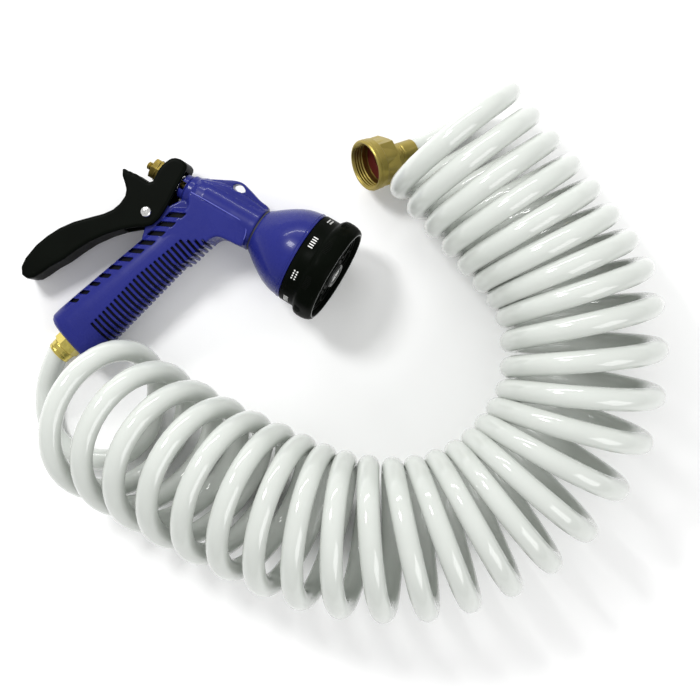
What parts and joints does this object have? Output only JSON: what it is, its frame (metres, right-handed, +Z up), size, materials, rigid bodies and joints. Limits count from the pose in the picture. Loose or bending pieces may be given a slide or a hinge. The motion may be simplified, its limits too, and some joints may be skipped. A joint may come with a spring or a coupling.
{
  "type": "hose-end watering gun with a coiled hose",
  "caption": "Pistol-grip watering gun with a rear lever and a turning spray-pattern dial, on a self-coiling hose with a brass swivel nut at its far end.",
  "frame": {"origin": "bottom centre of the gun's bounding box, on the surface the gun and its hose lie on", "axes": "+Z up from the surface; +X along the gun's longest extent, from the lever's tip towards the dial; +Y across the gun, from the grip's butt towards the lever's pivot"},
  "size_m": [0.3829, 0.3146, 0.097],
  "materials": {
    "blue": "glossy moulded plastic, royal blue",
    "black": "satin moulded plastic, black",
    "grey": "satin plastic, grey",
    "seal": "soft rubber, black",
    "washer": "soft rubber, red-brown",
    "steel": "plated steel",
    "brass": "polished brass",
    "dull_brass": "turned brass, dull",
    "hose": "glossy flexible tube, white"
  },
  "bodies": {
    "gun": {"body": "blue", "bell": "blue", "barrel_seal": "seal", "gland_nut": "blue", "stem_packing": "seal", "valve_seat": "dull_brass", "valve_spring": "steel", "lever_spring": "steel", "pivot_screw": "steel", "pivot_nut": "steel", "inlet_fitting": "brass", "inlet_seal": "seal", "port_disc": "grey", "port_seal": "seal", "detent_ball": "steel", "detent_spring": "steel", "dial_screw": "steel", "hose_ferrule": "brass", "hose_lead": "hose", "coil_open": "hose", "coil_lower": "hose", "coil_side": "hose", "coil_upper": "hose", "hose_tail": "hose", "tail_ferrule": "dull_brass", "tail_stem": "dull_brass"},
    "lever": {"lever": "black"},
    "stem": {"valve_stem": "dull_brass", "valve_washer": "seal"},
    "flow_nut": {"flow_nut": "dull_brass"},
    "dial": {"dial_ring": "black", "spray_plate": "black", "centre_cap": "grey"},
    "swivel": {"swivel_nut": "dull_brass", "tail_washer": "washer"}
  },
  "joints": [
    {"name": "lever_squeeze", "type": "hinge", "parent": "gun", "child": "lever", "pos_m": [-0.02506, 0.0286, 0.01903], "axis": [-0.1129, 0.0149, 0.9935], "range_deg": [0, 14], "stiffness_Nm_per_rad": 1.2, "springref_deg": -8.59, "deforming": ["lever_spring"]},
    {"name": "stem_slide", "type": "slide", "parent": "gun", "child": "stem", "axis": [-0.8525, 0.5122, -0.1045], "range_m": [0, 0.0066], "deforming": ["valve_spring"]},
    {"name": "flow_nut_turn", "type": "hinge", "parent": "stem", "child": "flow_nut", "pos_m": [-0.02007, 0.05451, 0.01921], "axis": [0.8525, -0.5122, 0.1045], "continuous": true},
    {"name": "dial_turn", "type": "hinge", "parent": "gun", "child": "dial", "pos_m": [0.07626, -0.00337, 0.03102], "axis": [0.8525, -0.5122, 0.1045], "continuous": true},
    {"name": "swivel_turn", "type": "hinge", "parent": "gun", "child": "swivel", "pos_m": [0.11202, 0.05932, 0.0228], "axis": [-0.8261, -0.3338, 0.454], "continuous": true}
  ],
  "couplings": [
    {"joint": "stem_slide", "follows": "lever_squeeze", "m_per_rad": 0.0248}
  ]
}
